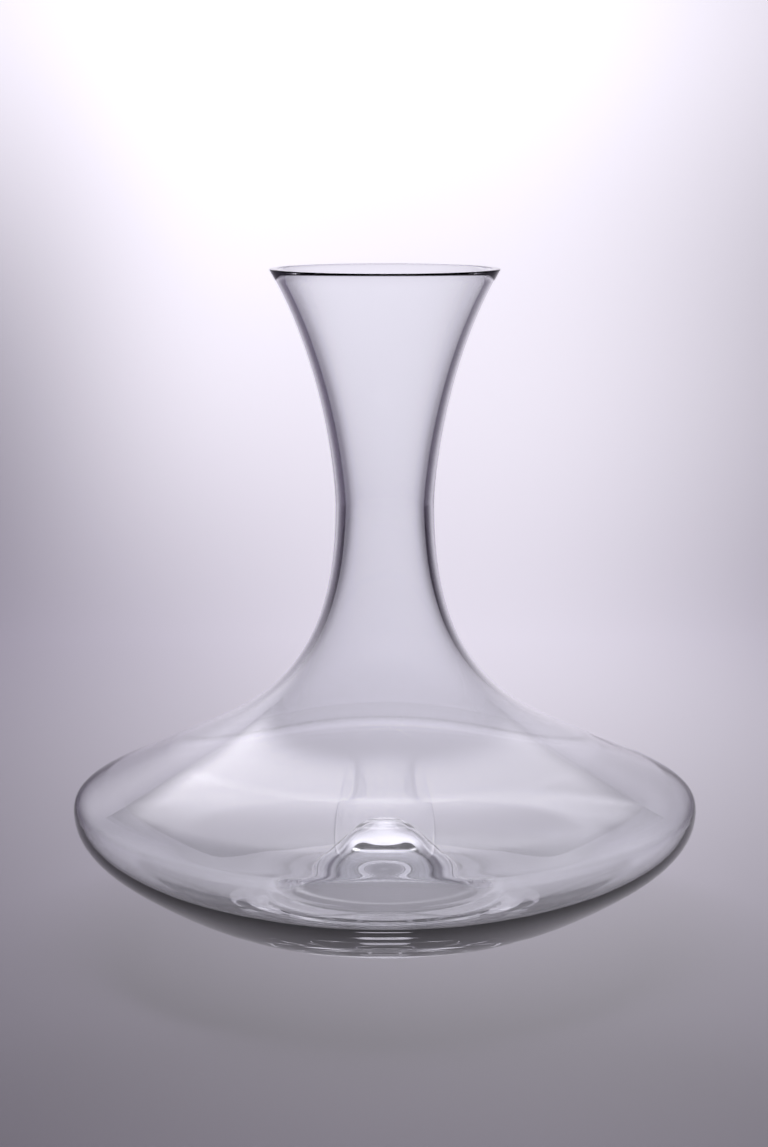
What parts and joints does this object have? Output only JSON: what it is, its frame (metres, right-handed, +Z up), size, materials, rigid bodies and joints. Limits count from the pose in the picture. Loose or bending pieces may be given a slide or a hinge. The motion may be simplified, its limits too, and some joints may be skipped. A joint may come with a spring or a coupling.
{
  "type": "wine decanter",
  "caption": "Wide, low clear glass wine decanter with a concave neck, a flared cut rim and a punt in the base.",
  "frame": {"origin": "on the vessel's axis, at the level of the surface that the foot ring stands on", "axes": "+Z up along the axis towards the mouth; the vessel is round, so +X and +Y are any two level directions"},
  "size_m": [0.22, 0.22, 0.2294],
  "materials": {
    "clear_glass": "clear colourless blown glass, fire-polished, with a cut rim"
  },
  "bodies": {
    "root": {"decanter_vessel": "clear_glass"}
  },
  "joints": []
}
